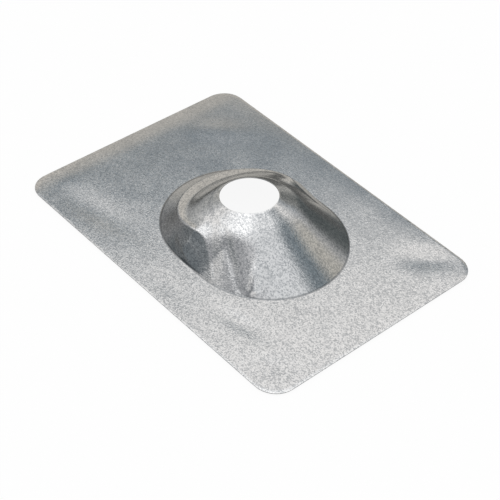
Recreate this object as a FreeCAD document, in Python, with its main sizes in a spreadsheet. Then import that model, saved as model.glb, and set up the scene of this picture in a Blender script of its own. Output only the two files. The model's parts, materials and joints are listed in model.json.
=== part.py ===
"""Pipe flashing boot: one sheet of galvanised steel, pressed into a flat flange with an oblong
drawn boss and a pierced pipe hole.

The part is made the way the press makes it. A blank with rounded corners is cut, the boss is
drawn up out of its middle, and the hole is punched square to the boss's sloping top.

Frame: millimetres, +Z up. The origin is the middle of the sheet's underside, below the centre of
the pipe hole. X runs down the roof slope (-X is the upslope end) and Y runs across it.
"""
import FreeCAD, Part
import Sketcher
import math
import os

doc = FreeCAD.newDocument("pipe_flashing")

# ---------------------------------------------------------------- driving dimensions
# lengths in mm, slopes in degrees, heights above the underside of the flange
DIMENSIONS = (
    ("gauge", 0.55, "thickness of the sheet"),
    ("sheet_length", 317.5, "flange, down the slope"),
    ("sheet_width", 228.6, "flange, across the slope"),
    ("corner_radius", 20.0, "flange corners"),
    ("foot_radius", 70.0, "round ends of the boss at its foot"),
    ("foot_bend", 2.0, "reach of the bend at the foot, to each side of it"),
    ("ridge_bend", 1.0, "the same at the ridge between the wall and the land"),
    ("land_bend", 2.0, "the same where the land meets the cone"),
    ("dome_bend", 2.0, "the same where the cone turns into the dome"),
    ("upslope_centre", 5.0, "centre of the upslope round end, behind the hole"),
    ("downslope_centre", 23.0, "centre of the downslope round end, beyond the hole"),
    ("upslope_lean", 37.5, "slope of the wall at the upslope end"),
    ("side_lean", 52.5, "slope of the wall at the sides"),
    ("downslope_lean", 41.0, "slope the side walls ease to, downslope"),
    ("land_height", 23.3, "height of the land at the hole's axis"),
    ("land_slope", 10.5, "rise of the land towards the hole"),
    ("land_fall", 31.0, "fall of the land past the hole"),
    ("cone_centre", 7.0, "centre of the cone's upslope round end"),
    ("dome_reach", 14.0, "how much wider than the hole the dome's edge circle is, on the radius"),
    ("dome_centre", 9.0, "centre of the dome's edge circle, beyond the hole"),
    ("dome_rise", 6.4, "rise from the middle of the edge circle to the middle of the hole"),
    ("dome_tilt", 2.3, "fall of the edge circle down the slope"),
    ("hole_diameter", 50.0, "pipe hole"),
    ("rim_height", 35.0, "height of the hole's centre"),
    ("rim_tilt", 5.4, "rise of the hole's plane down the slope"),
    ("crest_ease", 3.0, "height over which the land's crest is rounded"),
)


def make_sheet():
    """Spreadsheet with one named size to a row."""
    table = doc.addObject("Spreadsheet::Sheet", "sizes")
    for row, (name, value, meaning) in enumerate(DIMENSIONS, start=1):
        table.set(f"A{row}", name)
        table.set(f"B{row}", str(value))
        table.set(f"C{row}", meaning)
        table.setAlias(f"B{row}", name)
    doc.recompute()
    return table


sizes = make_sheet()
SIZE = {name: float(sizes.get(name)) for name, _, _ in DIMENSIONS}


def size(name):
    return SIZE[name]


def grade(name):
    """Rise per millimetre of a slope given in degrees."""
    return math.tan(math.radians(size(name)))


# ---------------------------------------------------------------- blank
def make_blank():
    """Flat sheet with four equal rounded corners, centred on the origin."""
    body = doc.addObject("PartDesign::Body", "blank")
    outline = body.newObject("Sketcher::SketchObject", "blank_outline")
    plane = next(f for f in body.Origin.OriginFeatures if f.Role == "XY_Plane")
    outline.AttachmentSupport = (plane, [""])
    outline.MapMode = "FlatFace"

    x = size("sheet_length") / 2
    y = size("sheet_width") / 2
    r = size("corner_radius")
    sides = (
        ((-x + r, -y), (x - r, -y)),
        ((x, -y + r), (x, y - r)),
        ((x - r, y), (-x + r, y)),
        ((-x, y - r), (-x, -y + r)),
    )
    centres = ((x - r, -y + r), (x - r, y - r), (-x + r, y - r), (-x + r, -y + r))
    for turn, ((start, end), centre) in enumerate(zip(sides, centres)):
        first = math.radians(90 * (turn - 1))
        circle = Part.Circle(FreeCAD.Vector(*centre, 0), FreeCAD.Vector(0, 0, 1), r)
        line = Part.LineSegment(FreeCAD.Vector(*start, 0), FreeCAD.Vector(*end, 0))
        outline.addGeometry(line)
        outline.addGeometry(Part.ArcOfCircle(circle, first, first + math.pi / 2))

    add = outline.addConstraint
    for index in range(8):
        add(Sketcher.Constraint("Tangent", index, 2, (index + 1) % 8, 1))
    for side, direction in ((0, "Horizontal"), (4, "Horizontal"), (2, "Vertical"), (6, "Vertical")):
        add(Sketcher.Constraint(direction, side))
    for corner in (3, 5, 7):
        add(Sketcher.Constraint("Equal", 1, corner))
    add(Sketcher.Constraint("Symmetric", 1, 3, 5, 3, -1, 1))
    driven = (
        ("length", Sketcher.Constraint("DistanceX", 6, 1, 2, 1, 2 * x), "sheet_length"),
        ("width", Sketcher.Constraint("DistanceY", 0, 1, 4, 1, 2 * y), "sheet_width"),
        ("corner", Sketcher.Constraint("Radius", 1, r), "corner_radius"),
    )
    for name, constraint, cell in driven:
        outline.renameConstraint(add(constraint), name)
        outline.setExpression(f"Constraints.{name}", f"sizes.{cell}")

    pad = body.newObject("PartDesign::Pad", "blank_sheet")
    pad.Profile = outline
    pad.setExpression("Length", "sizes.gauge")
    body.Tip = pad
    return body


# ---------------------------------------------------------------- form of the drawn boss
# The boss is the higher of two forms. The base is an oblong hill with a leaning wall, cut off by
# a land that rises to the hole and falls away past it. The cap is a cone with a shallow dome.
# These heights meet in sharp lines, and the skins below bend the sheet round each of them.
def from_spine(x, y, start, end):
    """Distance from the straight line along X between two centres: the oblong's radius."""
    return math.hypot(x - min(max(x, start), end), y)


def wall_height(x, y):
    start = -size("upslope_centre")
    end = size("downslope_centre")
    reach = from_spine(x, y, start, end)
    if x < start:
        share = (y / reach) ** 2
        lean = size("upslope_lean") * (1 - share) + size("side_lean") * share
    else:
        share = min((x - start) / (end - start), 1.0)
        lean = size("side_lean") * (1 - share) + size("downslope_lean") * share
    return math.tan(math.radians(lean)) * (size("foot_radius") - reach)


def land_height(x):
    """The land's plane up to its crest over the hole's axis, and its fall past it, rounded over."""
    top = size("land_height") - size("gauge")
    rise = grade("land_slope") * x
    fall = -grade("land_fall") * x
    near_crest = max(size("crest_ease") - abs(rise - fall), 0.0)
    return top + min(rise, fall) - near_crest ** 2 / (4 * size("crest_ease"))


def dome_edge(x, y):
    """Height of the circle where the cone turns into the dome, on the side a point lies on."""
    from_centre = x - size("dome_centre")
    across = size("hole_diameter") / 2 + size("dome_reach")
    middle = size("rim_height") - size("gauge") - size("dome_rise")
    return middle - grade("dome_tilt") * across * from_centre / math.hypot(from_centre, y)


def outside_edge(x, y):
    return math.hypot(x - size("dome_centre"), y) - size("hole_diameter") / 2 - size("dome_reach")


def cone_height(x, y):
    inside_foot = size("foot_radius") - from_spine(x, y, size("cone_centre"), size("downslope_centre"))
    return dome_edge(x, y) * inside_foot / (inside_foot + outside_edge(x, y))


def dome_height(x, y):
    hole_radius = size("hole_diameter") / 2
    to_axis = math.hypot(x, y)
    rim = size("rim_height") - size("gauge") + grade("rim_tilt") * hole_radius * x / to_axis
    outside_hole = to_axis - hole_radius
    share = outside_hole / (outside_hole - outside_edge(x, y))
    return rim + (dome_edge(x, y) - rim) * share


def cap_height(x, y):
    return min(dome_height(x, y), cone_height(x, y))


def drawn_height(x, y):
    """Height of the boss's upper face above the flange's upper face, with sharp lines."""
    return max(min(wall_height(x, y), land_height(x)), cap_height(x, y), 0.0)


# ---------------------------------------------------------------- skins of the drawn boss
# Each face of the sheet is ruled straight from one closed loop to the next, as the form is. The
# loops run along the edges of the bends, and some lie within a bend to divide it into flats.
BEARINGS = 56          # points to each loop
DEGREE = 3             # of the smooth curve through them
BEND_FLATS = 2         # flats to each bend
LEAST_RUN = 0.5        # narrowest straight run between two bends
HALVINGS = 24          # steps that find where two surfaces meet
SLOPE_STEP = 0.05      # spacing of the points that give the sheet's slope
PUNCH_ALLOWANCE = 2.0  # how far the drawn sheet runs in past the hole before it is punched


def foot_point(bearing):
    """Where a bearing from the middle of the boss meets the outer line of the foot bend."""
    half = (size("upslope_centre") + size("downslope_centre")) / 2
    middle = (size("downslope_centre") - size("upslope_centre")) / 2
    radius = size("foot_radius") + size("foot_bend")
    c = math.cos(bearing)
    s = math.sin(bearing)
    if abs(c) * radius <= half * abs(s):
        reach = radius / abs(s)
    else:
        reach = half * abs(c) + math.sqrt(radius ** 2 - (half * s) ** 2)
    return middle + reach * c, reach * s


def section_length(bearing):
    foot_x, foot_y = foot_point(bearing)
    r = size("hole_diameter") / 2
    return math.hypot(foot_x - r * math.cos(bearing), foot_y - r * math.sin(bearing))


def place(bearing, inward):
    """Plan position a distance inward from the foot line, towards the hole's edge."""
    foot_x, foot_y = foot_point(bearing)
    r = size("hole_diameter") / 2
    share = inward / section_length(bearing)
    x = foot_x + (r * math.cos(bearing) - foot_x) * share
    y = foot_y + (r * math.sin(bearing) - foot_y) * share
    return x, y


def upper_point(bearing, inward):
    """Point on the upper face, a distance inward from the foot line."""
    x, y = place(bearing, inward)
    return FreeCAD.Vector(x, y, size("gauge") + drawn_height(x, y))


def under_point(bearing, inward):
    """The same point on the under face, one gauge below the sheet at both sides of the point."""
    if inward == 0.0:
        return FreeCAD.Vector(*foot_point(bearing), 0.0)
    here = upper_point(bearing, inward)
    turn = SLOPE_STEP / size("foot_radius")
    along = upper_point(bearing + turn, inward) - upper_point(bearing - turn, inward)
    outer = here - upper_point(bearing, inward - SLOPE_STEP)
    inner = upper_point(bearing, inward + SLOPE_STEP) - here
    mitre = along.cross(outer).normalize() + along.cross(inner).normalize()
    return here - mitre * (2 * size("gauge") / mitre.Length ** 2)


def over_ridge(x, y):
    return wall_height(x, y) - max(land_height(x), cap_height(x, y))


def over_land(x, y):
    return cap_height(x, y) - land_height(x)


def over_edge(x, y):
    return cone_height(x, y) - dome_height(x, y)


def meeting(bearing, over, start, end):
    """Distance inward at which one surface rises over the next: the line between two bands."""
    for _ in range(HALVINGS):
        middle = (start + end) / 2
        if over(*place(bearing, middle)) < 0:
            start = middle
        else:
            end = middle
    return start


TURNS = (("ridge_bend", over_ridge), ("land_bend", over_land), ("dome_bend", over_edge))


def bends_along(bearing):
    """Each bend's distance inward and its reach, and the end of the sheet, in past the hole."""
    foot = size("foot_bend")
    rim = section_length(bearing)
    bends = [(foot, foot)]
    for number, (name, over) in enumerate(TURNS):
        reach = size(name)
        still_to_come = sum(2 * size(later) + LEAST_RUN for later, _ in TURNS[number + 1:])
        nearest = sum(bends[-1]) + LEAST_RUN + reach
        farthest = rim - reach - still_to_come
        bends.append((max(min(meeting(bearing, over, foot, rim), farthest), nearest), reach))
    return bends, max(rim, sum(bends[-1])) + PUNCH_ALLOWANCE


def section(point, bearing):
    """Points of one face of the sheet along a bearing, each bend rounded within its corner."""
    bends, end = bends_along(bearing)
    points = []
    for line, reach in bends:
        before = point(bearing, line - reach)
        corner = point(bearing, line)
        after = point(bearing, line + reach)
        for flat in range(BEND_FLATS + 1):
            share = flat / BEND_FLATS
            points.append(before * (1 - share) ** 2 + corner * (2 * share * (1 - share))
                          + after * share ** 2)
    return points + [point(bearing, end)]


def make_loops(point):
    """Closed smooth curves round the boss, from the foot line inward."""
    sections = [section(point, 2 * math.pi * n / BEARINGS) for n in range(BEARINGS)]
    loops = []
    for poles in zip(*sections):
        curve = Part.BSplineCurve()
        curve.buildFromPoles(list(poles), True, DEGREE)
        loops.append(curve.toShape())
    return loops


def make_boss():
    """Closed shell of the drawn sheet: both faces, the foot's cut and the raw inner edge."""
    upper = make_loops(upper_point)
    under = make_loops(under_point)
    round_section = upper + under[::-1]
    pairs = zip(round_section, round_section[1:] + round_section[:1])
    shell = Part.makeShell([Part.makeRuledSurface(first, second) for first, second in pairs])
    shell.sewShape()
    solid = Part.makeSolid(shell)
    if solid.Volume < 0:
        solid.reverse()
    boss = doc.addObject("Part::Feature", "drawn_boss")
    boss.Shape = solid
    foot_line = doc.addObject("Part::Feature", "foot_line")
    foot_line.Shape = Part.Wire([under[0]])
    return boss, foot_line


# ---------------------------------------------------------------- pressing
def make_flange(blank, foot_line):
    """The flat of the blank that is left round the boss."""
    opening = doc.addObject("Part::Extrusion", "boss_opening")
    opening.Base = foot_line
    opening.DirMode = "Custom"
    opening.Dir = FreeCAD.Vector(0, 0, 1)
    opening.setExpression("LengthFwd", "sizes.gauge")
    opening.FaceMakerClass = "Part::FaceMakerBullseye"
    opening.Solid = True
    flange = doc.addObject("Part::Cut", "flange")
    flange.Base = blank
    flange.Tool = opening
    return flange


def make_punch():
    """Round punch through the dome, square to the tilted plane of the rim."""
    punch = doc.addObject("Part::Cylinder", "hole_punch")
    punch.setExpression("Radius", "sizes.hole_diameter / 2")
    punch.setExpression("Height", "sizes.rim_height")
    punch.setExpression("Placement.Base.x", "sizes.rim_height / 2 * sin(sizes.rim_tilt * 1 deg)")
    punch.setExpression("Placement.Base.z",
                        "sizes.rim_height * (1 - cos(sizes.rim_tilt * 1 deg) / 2)")
    punch.Placement.Rotation = FreeCAD.Rotation(FreeCAD.Vector(0, 1, 0), -size("rim_tilt"))
    return punch


def press_sheet():
    """Blank, drawn boss and punched hole, as one solid."""
    boss, foot_line = make_boss()
    flange = make_flange(make_blank(), foot_line)
    drawn = doc.addObject("Part::MultiFuse", "drawn_sheet")
    drawn.Shapes = [flange, boss]
    sheet = doc.addObject("Part::Cut", "flashing_sheet")
    sheet.Label = "flashing_sheet"
    sheet.Base = drawn
    sheet.Tool = make_punch()
    doc.recompute()
    return drawn, sheet


def check(drawn, sheet):
    for item in doc.Objects:
        if "Invalid" in item.State or "Error" in item.State:
            raise RuntimeError(f"{item.Name} failed: {item.State}")
    shape = sheet.Shape
    if shape.isNull() or not shape.isValid() or len(shape.Solids) != 1:
        raise RuntimeError("the sheet is not one sound solid")
    if shape.Volume >= drawn.Shape.Volume:
        raise RuntimeError("the punch missed the boss")


drawn_sheet, flashing_sheet = press_sheet()
check(drawn_sheet, flashing_sheet)
os.makedirs("parts", exist_ok=True)
flashing_sheet.Shape.exportStep(f"parts/{flashing_sheet.Label}.step")
print(f"{flashing_sheet.Label}: {flashing_sheet.Shape.Volume:.0f} mm3, {flashing_sheet.Shape.BoundBox}")
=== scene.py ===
import json
import math

import bmesh
import bpy
from mathutils import Matrix, Vector


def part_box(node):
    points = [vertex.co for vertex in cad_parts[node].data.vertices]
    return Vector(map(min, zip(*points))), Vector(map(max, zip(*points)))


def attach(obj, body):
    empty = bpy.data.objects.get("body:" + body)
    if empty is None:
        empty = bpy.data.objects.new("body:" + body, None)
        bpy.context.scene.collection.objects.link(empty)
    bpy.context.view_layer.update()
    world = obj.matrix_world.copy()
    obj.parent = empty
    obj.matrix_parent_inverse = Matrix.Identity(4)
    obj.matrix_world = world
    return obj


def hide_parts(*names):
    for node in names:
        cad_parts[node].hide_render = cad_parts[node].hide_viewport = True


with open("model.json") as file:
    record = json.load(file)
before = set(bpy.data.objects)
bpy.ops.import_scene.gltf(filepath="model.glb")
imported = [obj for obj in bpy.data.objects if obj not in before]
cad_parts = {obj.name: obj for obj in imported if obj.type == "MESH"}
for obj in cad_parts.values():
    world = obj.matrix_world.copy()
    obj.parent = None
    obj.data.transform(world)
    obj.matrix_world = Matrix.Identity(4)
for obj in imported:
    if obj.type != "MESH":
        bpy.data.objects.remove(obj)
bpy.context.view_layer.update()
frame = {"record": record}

# ---------------------------------------------------------------- drawn sheet
# The whole boot is one sheet of galvanised steel. A flat blank with rounded corners is pressed up
# into an oblong boss: a leaning wall, a sloping land round the upslope side, a cone down the roof
# and a shallow dome with the punched pipe hole. The flat round it is slightly sprung by handling.
MM = 0.001
LOW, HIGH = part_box("flashing_sheet")
PIPE_OPENING = next(m for m in frame["record"]["mounts"] if m["name"] == "pipe_opening")

GAUGE = 0.55 * MM
HALF_LENGTH = (HIGH.x - LOW.x) / 2
HALF_WIDTH = (HIGH.y - LOW.y) / 2
CORNER_RADIUS = 20 * MM

FOOT_RADIUS = 70 * MM
FOOT_BEND = 0.8 * MM
UPSLOPE_CENTRE = -5 * MM
DOWNSLOPE_CENTRE = 23 * MM
BOSS_MIDDLE = (UPSLOPE_CENTRE + DOWNSLOPE_CENTRE) / 2
UPSLOPE_LEAN, SIDE_LEAN, DOWNSLOPE_LEAN = 37.5, 52.5, 41.0    # degrees from the flat
LAND_HEIGHT = 23.3 * MM
LAND_SLOPE, LAND_FALL = 10.5, 31.0    # degrees, up to the hole's axis and down from it
CONE_CENTRE = 7 * MM

HOLE_RADIUS = PIPE_OPENING["dims"]["r_mm"] * MM
RIM_HEIGHT = 35 * MM
RIM_TILT = math.atan2(-PIPE_OPENING["axis"][0], PIPE_OPENING["axis"][2])
DOME_REACH = 14 * MM
DOME_CENTRE = 9 * MM
DOME_RISE = 6.4 * MM
DOME_TILT = 2.3         # degrees, down the roof
SIDE_FULLNESS = 0.5     # how far the cone swells out over the land at the boss's two sides

RIDGE_EASE = 1.1 * MM
FALL_EASE = 6.0 * MM
CONE_EASE = 6.0 * MM
CONE_EASE_LEAST = 0.03    # share of the land's height below which the ease shrinks no further
DOME_EASE = 1.6 * MM


def grade(degrees):
    """Rise over run of a slope."""
    return math.tan(math.radians(degrees))


def lower(a, b, ease):
    """The lower of two heights, rounded over where they are within the ease of each other."""
    return min(a, b) - max(ease - abs(a - b), 0.0) ** 2 / (4 * ease)


def higher(a, b, ease):
    """The higher of two heights, filled in between them in the same way."""
    return -lower(-a, -b, ease)


def from_spine(x, y, start, end):
    """Distance from the straight line along X between two centres: the oblong's radius."""
    return math.hypot(x - min(max(x, start), end), y)


def wall_height(x, y):
    """The leaning wall that rises from the foot, steepest at the boss's two sides."""
    reach = from_spine(x, y, UPSLOPE_CENTRE, DOWNSLOPE_CENTRE)
    if x < UPSLOPE_CENTRE:
        share = (y / reach) ** 2
        lean = UPSLOPE_LEAN * (1 - share) + SIDE_LEAN * share
    else:
        share = min((x - UPSLOPE_CENTRE) / (DOWNSLOPE_CENTRE - UPSLOPE_CENTRE), 1.0)
        lean = SIDE_LEAN * (1 - share) + DOWNSLOPE_LEAN * share
    return grade(lean) * (FOOT_RADIUS - reach)


def land_height(x):
    """The sloping land: it rises gently down the roof and then falls away faster."""
    top = LAND_HEIGHT - GAUGE
    return lower(top + grade(LAND_SLOPE) * x, top - grade(LAND_FALL) * x, FALL_EASE)


def cap_height(x, y):
    """Cone from the foot up to the dome's edge circle, and dome from there to the hole's rim."""
    edge_radius = HOLE_RADIUS + DOME_REACH
    to_axis = math.hypot(x, y)
    to_edge_axis = math.hypot(x - DOME_CENTRE, y)
    middle = RIM_HEIGHT - GAUGE
    rim = middle + math.tan(RIM_TILT) * HOLE_RADIUS * x / to_axis
    edge = middle - DOME_RISE - grade(DOME_TILT) * edge_radius * (x - DOME_CENTRE) / to_edge_axis

    outside_hole = to_axis - HOLE_RADIUS
    outside_edge = to_edge_axis - edge_radius
    dome = rim + (edge - rim) * outside_hole / (outside_hole - outside_edge)
    inside_foot = max(FOOT_RADIUS - from_spine(x, y, CONE_CENTRE, DOWNSLOPE_CENTRE), 0.0)
    aside = (y / max(math.hypot(min(x - UPSLOPE_CENTRE, 0.0), y), 1e-9)) ** 2
    ahead = min(max((x - UPSLOPE_CENTRE) / (DOWNSLOPE_CENTRE - UPSLOPE_CENTRE), 0.0), 1.0)
    share = inside_foot / (inside_foot + outside_edge)
    swell = 1 - SIDE_FULLNESS * aside * (1 - ahead) if share < 1 else 1
    cone = edge * share ** swell
    return lower(dome, cone, DOME_EASE)


# Small marks the press and handling leave: (x, y) centre and half sizes along and across a turned
# axis, the turn in degrees, and the height, all in mm. A mark is a smooth swelling or hollow.
PUCKERS = (
    (36.0, -49.0, 20.0, 3.2, -25.0, -1.0),
    (60.0, -46.5, 14.0, 3.6, -48.0, 1.8),
)
DENTS = (
    (84.0, -79.0, 22.0, 8.0, 8.0, -0.7),
    (131.0, -90.0, 13.0, 10.0, 30.0, -0.4),
    (-92.0, -87.0, 38.0, 14.0, 8.0, -0.85),
    (15.0, -98.0, 20.0, 9.0, 0.0, -0.25),
    (-112.0, 67.0, 30.0, 14.0, 45.0, 0.35),
    (123.0, 91.0, 22.0, 12.0, 50.0, -0.75),
)
PUCKERS_FULL_AT = 2.5 * MM    # height above the foot where the puckers reach their full depth
SAG_REACH = 21 * MM
SAG_DEPTH = 0.85 * MM
SIDE_SAG = 0.35               # sag of the +Y edge, as a share of the upslope edge's
SPRING = 0.9 * MM


def mark_height(marks, x, y):
    """Sum of the smooth swellings and hollows at a point."""
    total = 0.0
    for centre_x, centre_y, half_long, half_wide, turn, height in marks:
        c = math.cos(math.radians(turn))
        s = math.sin(math.radians(turn))
        away_x = x / MM - centre_x
        away_y = y / MM - centre_y
        along = (away_x * c + away_y * s) / half_long
        across = (away_y * c - away_x * s) / half_wide
        total += height * MM * math.exp(-(along ** 2 + across ** 2))
    return total


def warp(x, y, rise):
    """The flat springs a little off its bed and two of its edges sag back; the boss is puckered."""
    upslope = max(1 - (x + HALF_LENGTH) / SAG_REACH, 0.0) ** 2
    aside = max(1 - (HALF_WIDTH - y) / SAG_REACH, 0.0) ** 2
    sag = SAG_DEPTH * max(upslope, SIDE_SAG * aside)
    puckered = min(rise / PUCKERS_FULL_AT, 1.0)
    return SPRING - sag + mark_height(DENTS, x, y) + puckered * mark_height(PUCKERS, x, y)


def drawn_height(x, y):
    """Height of the boss above the flat, before the foot is bent."""
    base = lower(wall_height(x, y), land_height(x), RIDGE_EASE)
    cap = cap_height(x, y)
    risen = min(max(base, cap) / LAND_HEIGHT, 1.0)
    return higher(base, cap, CONE_EASE * max(risen, CONE_EASE_LEAST) ** 1.5)


def foot_point(bearing):
    """Where a bearing from the middle of the boss meets the outer line of the foot bend."""
    half = (DOWNSLOPE_CENTRE - UPSLOPE_CENTRE) / 2
    radius = FOOT_RADIUS + FOOT_BEND
    c = math.cos(bearing)
    s = math.sin(bearing)
    if abs(c) * radius <= half * abs(s):
        reach = radius / abs(s)
    else:
        reach = half * abs(c) + math.sqrt(radius ** 2 - (half * s) ** 2)
    return Vector((BOSS_MIDDLE + reach * c, reach * s))


def edge_point(bearing):
    """Where the same bearing meets the sheet's outline, a rectangle with rounded corners."""
    c = math.cos(bearing)
    s = math.sin(bearing)
    reach_x = (math.copysign(HALF_LENGTH, c) - BOSS_MIDDLE) / c if abs(c) > 1e-9 else math.inf
    reach_y = HALF_WIDTH / abs(s) if abs(s) > 1e-9 else math.inf
    reach = min(reach_x, reach_y)
    corner = Vector((math.copysign(HALF_LENGTH - CORNER_RADIUS, c) - BOSS_MIDDLE,
                     math.copysign(HALF_WIDTH - CORNER_RADIUS, s)))
    point = Vector((reach * c, reach * s))
    if abs(point.x + BOSS_MIDDLE) > HALF_LENGTH - CORNER_RADIUS and abs(point.y) > abs(corner.y):
        along = corner.x * c + corner.y * s
        off = corner.length_squared - along ** 2
        point = Vector((c, s)) * (along + math.sqrt(CORNER_RADIUS ** 2 - off))
    return Vector((point.x + BOSS_MIDDLE, point.y))


def rim_point(bearing):
    """Where the bearing from the hole's axis meets its tilted rim, seen from above."""
    x = HOLE_RADIUS * math.cos(bearing) * math.cos(RIM_TILT)
    return Vector((x, HOLE_RADIUS * math.sin(bearing)))


def boss_point(bearing, share):
    """Point of the upper face between the hole's rim, at 0, and the foot line, at 1."""
    rim = rim_point(bearing)
    foot = foot_point(bearing)
    x, y = rim.lerp(foot, share)
    bend = 2 * FOOT_BEND / (foot - rim).length
    if 1 - share < bend:
        inner_x, inner_y = rim.lerp(foot, 1 - bend)
        rise = drawn_height(inner_x, inner_y) * ((1 - share) / bend) ** 2
    elif share == 0:
        rise = RIM_HEIGHT - GAUGE + HOLE_RADIUS * math.cos(bearing) * math.sin(RIM_TILT)
    else:
        rise = drawn_height(x, y)
    return Vector((x, y, GAUGE + rise + warp(x, y, rise)))


def flat_point(bearing, share):
    """Point of the upper face between the foot line, at 0, and the sheet's edge, at 1."""
    x, y = foot_point(bearing).lerp(edge_point(bearing), share)
    return Vector((x, y, GAUGE + warp(x, y, 0.0)))


BEARINGS = 336      # points to each ring
BOSS_RINGS = 84     # rings from the rim to the foot
FLAT_RINGS = 34     # rings from the foot to the edge
FLAT_CROWDING = 1.4    # above 1, the flat's rings lie closer together next to the foot
EDGE_ROUNDING = 0.09 * MM
SHARP = math.radians(50)


def make_sheet():
    """Grows rings from the hole's rim out to the sheet's edge, then gives them the gauge."""
    shape = bmesh.new()
    bearing = shape.verts.layers.float.new("bearing")
    ring = bmesh.ops.create_circle(shape, segments=BEARINGS, radius=HOLE_RADIUS)["verts"]
    for vert in ring:
        vert[bearing] = math.atan2(vert.co.y, vert.co.x)
        vert.co = boss_point(vert[bearing], 0)
    edges = list(shape.edges)

    rings = [(boss_point, n / BOSS_RINGS) for n in range(1, BOSS_RINGS + 1)]
    rings += [(flat_point, (n / FLAT_RINGS) ** FLAT_CROWDING) for n in range(1, FLAT_RINGS + 1)]
    for place, share in rings:
        grown = bmesh.ops.extrude_edge_only(shape, edges=edges)["geom"]
        edges = [g for g in grown if isinstance(g, bmesh.types.BMEdge)]
        for vert in (g for g in grown if isinstance(g, bmesh.types.BMVert)):
            vert.co = place(vert[bearing], share)

    bmesh.ops.recalc_face_normals(shape, faces=shape.faces)
    if sum(face.normal.z for face in shape.faces) < 0:
        bmesh.ops.reverse_faces(shape, faces=shape.faces)
    bmesh.ops.solidify(shape, geom=shape.faces[:] + shape.edges[:] + shape.verts[:], thickness=GAUGE)
    cut_edges = [edge for edge in shape.edges if edge.calc_face_angle(0) > SHARP]
    bmesh.ops.bevel(shape, geom=cut_edges, offset=EDGE_ROUNDING, affect="EDGES",
                    segments=2, profile=0.5, material=-1)
    for face in shape.faces:
        face.smooth = True
    for edge in shape.edges:
        edge.smooth = edge.calc_face_angle(0) < SHARP
    mesh = bpy.data.meshes.new("galvanised_sheet")
    shape.to_mesh(mesh)
    shape.free()
    piece = bpy.data.objects.new("galvanised_sheet", mesh)
    bpy.context.collection.objects.link(piece)
    return piece


class Socket:
    """A node's output that can be used in arithmetic: each operator adds one Math node."""

    def __init__(self, tree, output):
        self.tree = tree
        self.output = output

    def math(self, operation, *values):
        return add_node(self.tree, "ShaderNodeMath", {"operation": operation}, *values)

    def __add__(self, other):
        return self.math("ADD", self, other)

    def __sub__(self, other):
        return self.math("SUBTRACT", self, other)

    def __rsub__(self, other):
        return self.math("SUBTRACT", other, self)

    def __mul__(self, other):
        return self.math("MULTIPLY", self, other)

    def __pow__(self, other):
        return self.math("POWER", self, other)

    def __rpow__(self, other):
        return self.math("POWER", other, self)

    def __abs__(self):
        return self.math("ABSOLUTE", self)

    __radd__ = __add__
    __rmul__ = __mul__

    def twin(self, name):
        """Another output of the same node."""
        return Socket(self.tree, self.output.node.outputs[name])


def add_node(tree, kind, settings, *values, output=0, **named):
    """Adds a node, sets its settings and then its inputs, and returns one output as a Socket."""
    node = tree.nodes.new(kind)
    for name, value in settings.items():
        if name == "stops":
            ramp = node.color_ramp
            while len(ramp.elements) < len(value):
                ramp.elements.new(0.5)
            for element, (position, colour) in zip(ramp.elements, value):
                element.position = position
                element.color = (*colour, 1)
        else:
            setattr(node, name, value)
    inputs = [(node.inputs[n], v) for n, v in enumerate(values)]
    inputs += [(node.inputs[name.replace("_", " ")], v) for name, v in named.items()]
    for socket, value in inputs:
        if isinstance(value, Socket):
            tree.links.new(value.output, socket)
        elif value is not None:
            socket.default_value = value
    return Socket(tree, node.outputs[output])


def blend(tree, mask, under, over):
    """Mixes two colours by a mask: each is a Socket or four plain numbers."""
    value_and_vector_inputs = [None] * 5
    return add_node(tree, "ShaderNodeMix", {"data_type": "RGBA"}, mask, *value_and_vector_inputs,
                    under, over, output=2)


def smooth_step(tree, value, start, end, before=0.0, after=1.0):
    """Goes smoothly from one level to another while a value goes from its start to its end."""
    return add_node(tree, "ShaderNodeMapRange", {"interpolation_type": "SMOOTHSTEP"}, value,
                    start, end, before, after)


def new_material(name):
    """A material with its node tree and the shader that the tree starts with."""
    material = bpy.data.materials.new(name)
    material.use_nodes = True
    tree = material.node_tree
    shader = tree.nodes["Principled BSDF"]
    return material, tree, shader


ZINC_PALE = (0.92, 0.92, 0.92, 1)
ZINC_DULL = (0.51, 0.525, 0.54, 1)
CLOUD_SIZE = 30 * MM
CLOUD_CONTRAST = 0.5
GRAIN_SIZE = 1.1 * MM
GRAIN_DEPTH = 0.10 * MM
GRAIN_LEAST = 0.35         # strength of the grain at the finer corner; it is 1 at the other
GRAIN_CONTRAST = 2.0
FACET_CONTRAST = 1.4
# Painted sheen: the zinc's colour is painted paler towards the downslope right corner, the one
# nearest the camera, where the light falls brighter. The same mask makes the grain coarser there.
SHEEN_AND_GRAIN_START, SHEEN_AND_GRAIN_END = -0.7, 0.6    # on a scale of -1 at the finer corner to 1 at the other
SHEEN_AND_GRAIN_RAGGED = 0.8         # how far the clouds push that change to and fro
PAINTED_SHEEN_CONTRAST = 0.25
ZINC_ROUGHNESS = 0.145
CLOUD_ROUGHNESS = 0.06
GRAIN_ROUGHNESS = 0.10
# Painted shade: a dark grey line is painted into the zinc's colour along the bend at the foot, where
# shade falls in the crease.
CREASE_SHADE_GREY = (0.16, 0.17, 0.18, 1)
CREASE_SHADE_WIDTH = 1.3 * MM    # half width of the dark line of painted shade in the bend at the foot
CREASE_SHADE_CORE = 0.2          # share of that width where the line is at its strongest
CREASE_SHADE_STRENGTH = 0.75


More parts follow.
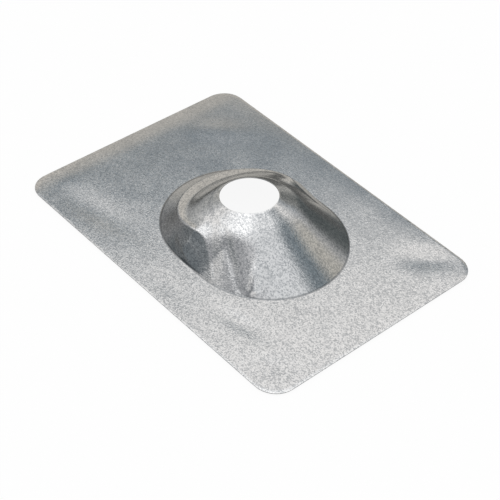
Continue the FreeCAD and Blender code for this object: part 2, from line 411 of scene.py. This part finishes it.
def make_zinc():
    """Hot-dip zinc: a crinkled grain, coarser towards one corner, which is also painted paler there
    as sheen.
    """
    material, tree, shader = new_material("galvanised zinc")
    place = add_node(tree, "ShaderNodeTexCoord", {}, output="Object")

    def noise(size, detail, roughness=0.5):
        return add_node(tree, "ShaderNodeTexNoise", {}, Vector=place, Scale=1 / size,
                        Detail=detail, Roughness=roughness, output="Fac")

    cloud = noise(CLOUD_SIZE, 3)
    grain = noise(GRAIN_SIZE, 1.5, 0.55)
    across = add_node(tree, "ShaderNodeVectorMath", {"operation": "DOT_PRODUCT"}, place,
                      (0.5 / HALF_LENGTH, -0.5 / HALF_WIDTH, 0), output="Value")
    # Mask towards the downslope right corner: painted sheen in the colour and coarser grain.
    sheen_and_coarse_grain = smooth_step(tree, across + (cloud - 0.5) * SHEEN_AND_GRAIN_RAGGED, SHEEN_AND_GRAIN_START, SHEEN_AND_GRAIN_END)
    coarse = GRAIN_LEAST + sheen_and_coarse_grain * (1 - GRAIN_LEAST)
    spangle = add_node(tree, "ShaderNodeTexVoronoi", {}, Vector=place, Scale=1 / GRAIN_SIZE,
                       output="Color")
    facet = add_node(tree, "ShaderNodeSeparateColor", {}, spangle)
    # The corner term paints the zinc paler towards the downslope right corner as painted sheen.
    mottle = 0.5 + (cloud - 0.5) * CLOUD_CONTRAST + (sheen_and_coarse_grain - 0.5) * PAINTED_SHEEN_CONTRAST
    mottle = mottle + coarse * ((facet - 0.5) * FACET_CONTRAST + (grain - 0.5) * GRAIN_CONTRAST)
    colour = blend(tree, mottle, ZINC_DULL, ZINC_PALE)

    # Painted shade: the colour turns dark grey in a thin line along the bend at the foot, where
    # shade falls in the crease.
    along = add_node(tree, "ShaderNodeSeparateXYZ", {}, place, output="X")
    aside = along.twin("Y")
    spine = add_node(tree, "ShaderNodeClamp", {}, along, UPSLOPE_CENTRE, DOWNSLOPE_CENTRE)
    reach = ((along - spine) ** 2 + aside ** 2) ** 0.5
    crease_shade = smooth_step(tree, abs(reach - FOOT_RADIUS), CREASE_SHADE_CORE * CREASE_SHADE_WIDTH, CREASE_SHADE_WIDTH,
                         CREASE_SHADE_STRENGTH, 0.0)
    crease_shaded = blend(tree, crease_shade, colour, CREASE_SHADE_GREY)
    tree.links.new(crease_shaded.output, shader.inputs["Base Color"])

    shader.inputs["Metallic"].default_value = 1.0
    rough = ZINC_ROUGHNESS + (cloud - 0.5) * CLOUD_ROUGHNESS + (grain - 0.5) * GRAIN_ROUGHNESS
    tree.links.new(rough.output, shader.inputs["Roughness"])
    bump = add_node(tree, "ShaderNodeBump", {}, Strength=1.0, Distance=GRAIN_DEPTH,
                    Height=grain * coarse, output="Normal")
    tree.links.new(bump.output, shader.inputs["Normal"])
    return material


sheet = make_sheet()
sheet.data.materials.append(make_zinc())
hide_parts("flashing_sheet")
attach(sheet, "root")

# ---------------------------------------------------------------- floor
# A white floor a little under the sheet. It keeps a faint shadow of the boot. The metal mirrors it
# as dark grey instead of white, so that the foot of the boss and its inside stay dark.
FLOOR_SIZE = 12.0
FLOOR_DROP = 0.3 * MM
FLOOR_GREY = 0.9
FLOOR_ROUGHNESS = 0.9
FLOOR_WHITENESS = 0.92    # share of the seen floor that is plain white; the rest takes the shadow
FLOOR_MIRRORED = (0.12, 0.12, 0.115, 1)


def make_floor():
    shape = bmesh.new()
    bmesh.ops.create_grid(shape, x_segments=1, y_segments=1, size=FLOOR_SIZE / 2)
    bmesh.ops.translate(shape, verts=shape.verts, vec=(0, 0, -FLOOR_DROP))
    mesh = bpy.data.meshes.new("floor")
    shape.to_mesh(mesh)
    shape.free()
    floor = bpy.data.objects.new("floor", mesh)
    bpy.context.collection.objects.link(floor)

    material, tree, shader = new_material("floor white")
    shader.inputs["Base Color"].default_value = (FLOOR_GREY, FLOOR_GREY, FLOOR_GREY, 1)
    shader.inputs["Roughness"].default_value = FLOOR_ROUGHNESS
    shader.inputs["Specular IOR Level"].default_value = 0.0
    seen = add_node(tree, "ShaderNodeLightPath", {}, output="Is Camera Ray")
    mirrored = seen.twin("Is Glossy Ray")
    lit = Socket(tree, shader.outputs["BSDF"])
    grey = add_node(tree, "ShaderNodeEmission", {}, FLOOR_MIRRORED, 1.0)
    white = add_node(tree, "ShaderNodeEmission", {}, (1, 1, 1, 1), 1.0)
    surface = add_node(tree, "ShaderNodeMixShader", {}, mirrored, lit, grey)
    surface = add_node(tree, "ShaderNodeMixShader", {}, seen * FLOOR_WHITENESS, surface, white)
    tree.links.new(surface.output, tree.nodes["Material Output"].inputs["Surface"])
    mesh.materials.append(material)
    return floor


floor = make_floor()

# ---------------------------------------------------------------- camera
# Looks down on the boot from its downslope right corner, slightly rolled.
CAMERA_AZIMUTH = 45.717
CAMERA_ELEVATION = 42.636
CAMERA_ROLL = 4.172
CAMERA_DISTANCE = 1.18795
CAMERA_SENSOR = 36
CAMERA_LENS = 103.26
CAMERA_NEAR = 0.05
CAMERA_AIM = Vector((22.434 * MM, -16.577 * MM, 0))


def direction(azimuth, elevation):
    """Unit vector from the boot. Azimuth 0 is towards -Y and 90 towards +X."""
    a = math.radians(azimuth)
    e = math.radians(elevation)
    return Vector((math.sin(a) * math.cos(e), -math.cos(a) * math.cos(e), math.sin(e)))


def make_camera():
    back = direction(CAMERA_AZIMUTH, CAMERA_ELEVATION)
    right = (-back).cross(Vector((0, 0, 1))).normalized()
    up = right.cross(-back)
    axes = Matrix((right, up, back)).transposed()
    camera = bpy.data.objects.new("camera", bpy.data.cameras.new("camera"))
    camera.data.sensor_width = CAMERA_SENSOR
    camera.data.lens = CAMERA_LENS
    camera.data.clip_start = CAMERA_NEAR
    turned = axes @ Matrix.Rotation(math.radians(CAMERA_ROLL), 3, "Z")
    camera.matrix_world = Matrix.Translation(CAMERA_AIM + back * CAMERA_DISTANCE) @ turned.to_4x4()
    bpy.context.collection.objects.link(camera)
    bpy.context.scene.camera = camera


make_camera()

# ---------------------------------------------------------------- tent and sky
# Even white light from all round, and a cloth tent that only mirrored surfaces see: grey low down
# and paler overhead, with a slanting grey wall behind the boot and paler and darker patches.
TENT_RADIUS = 4.0
TENT_STRENGTH = 1.15
# Each band's height as a share of the tent's, from the floor up, and its colour.
TENT_BANDS = (
    (0.00, (0.16, 0.16, 0.16)),
    (0.21, (0.28, 0.28, 0.28)),
    (0.41, (0.37, 0.37, 0.37)),
    (0.59, (0.54, 0.54, 0.54)),
    (0.70, (0.91, 0.885, 0.86)),
    (0.75, (0.64, 0.63, 0.62)),
    (0.84, (0.84, 0.84, 0.84)),
    (1.00, (1.10, 1.10, 1.10)),
)
# Round patches: azimuth rightwards from straight behind the boot, elevation, half angle and
# softness of the edge, all in degrees, and the colour.
TENT_PATCHES = (
    ((180, 62, 14, 10), (0.46, 0.46, 0.47)),
    ((-142, 54, 14, 7), (0.28, 0.285, 0.295)),
    ((-90, 11, 16, 11), (0.13, 0.14, 0.145)),
    ((-122, 20, 25.5, 8), (0.14, 0.155, 0.165)),
    ((125, 68, 16, 10), (0.62, 0.63, 0.64)),
    ((77, 48, 13, 6), (0.15, 0.18, 0.20)),
    ((64, 35, 9, 5), (0.44, 0.42, 0.38)),
    ((38, 8, 15, 8), (0.09, 0.10, 0.10)),
)
WALL_PATCH = (0, 30, 32, 12)
WALL_SLANT = 10    # degrees
WALL_DARK = (0.15, 0.195, 0.23)
WALL_DARK_TOP = (35.5, 45.5)    # elevations between which the dark wall fades out upwards
WALL_LOW = (0.50, 0.475, 0.435)
WALL_LOW_TOP = (32, 36.5)


def make_tent():
    """Shell round the studio that only reflections see, painted by direction."""
    shape = bmesh.new()
    bmesh.ops.create_uvsphere(shape, u_segments=48, v_segments=24, radius=TENT_RADIUS)
    mesh = bpy.data.meshes.new("tent")
    shape.to_mesh(mesh)
    shape.free()
    tent = bpy.data.objects.new("tent", mesh)
    bpy.context.collection.objects.link(tent)
    tent.visible_camera = False
    tent.visible_diffuse = False
    tent.visible_shadow = False
    tent.visible_transmission = False

    material, tree, _ = new_material("tent cloth")
    place = add_node(tree, "ShaderNodeTexCoord", {}, output="Object")
    way = add_node(tree, "ShaderNodeVectorMath", {"operation": "NORMALIZE"}, place)
    up = add_node(tree, "ShaderNodeSeparateXYZ", {}, way, output="Z")

    def towards(vector):
        """How nearly each direction is the given one: 1 along it, 0 square to it."""
        return add_node(tree, "ShaderNodeVectorMath", {"operation": "DOT_PRODUCT"}, way,
                        tuple(vector), output="Value")

    def patch(azimuth, elevation, half_angle, softness):
        """1 inside a round patch of the tent and 0 outside it."""
        centre = direction(CAMERA_AZIMUTH + 180 - azimuth, elevation)
        edge_in = math.cos(math.radians(max(half_angle - softness, 0)))
        edge_out = math.cos(math.radians(half_angle + softness))
        return smooth_step(tree, towards(centre), edge_out, edge_in)

    wall_up = direction(CAMERA_AZIMUTH + 90, 0) * math.sin(math.radians(WALL_SLANT))
    wall_up.z = math.cos(math.radians(WALL_SLANT))
    rise = towards(wall_up)

    def below(top):
        """1 below the slanting top of the wall and 0 above it, soft between two elevations."""
        low, high = top
        return 1 - smooth_step(tree, rise, math.sin(math.radians(low)), math.sin(math.radians(high)))

    def paint(under, mask, colour):
        return blend(tree, mask, under, (*colour, 1))

    cloth = add_node(tree, "ShaderNodeValToRGB", {"stops": TENT_BANDS}, up)
    wall = patch(*WALL_PATCH)
    cloth = paint(cloth, wall * below(WALL_DARK_TOP), WALL_DARK)
    cloth = paint(cloth, wall * below(WALL_LOW_TOP), WALL_LOW)
    for where, colour in TENT_PATCHES:
        cloth = paint(cloth, patch(*where), colour)
    light = add_node(tree, "ShaderNodeEmission", {}, cloth, TENT_STRENGTH)
    tree.links.new(light.output, tree.nodes["Material Output"].inputs["Surface"])
    mesh.materials.append(material)
    return tent


tent = make_tent()

sky = bpy.data.worlds.new("studio")
sky.use_nodes = True
sky.node_tree.nodes["Background"].inputs["Color"].default_value = (1, 1, 1, 1)
sky.node_tree.nodes["Background"].inputs["Strength"].default_value = 1.0
bpy.context.scene.world = sky
bpy.context.scene.view_settings.view_transform = "Standard"
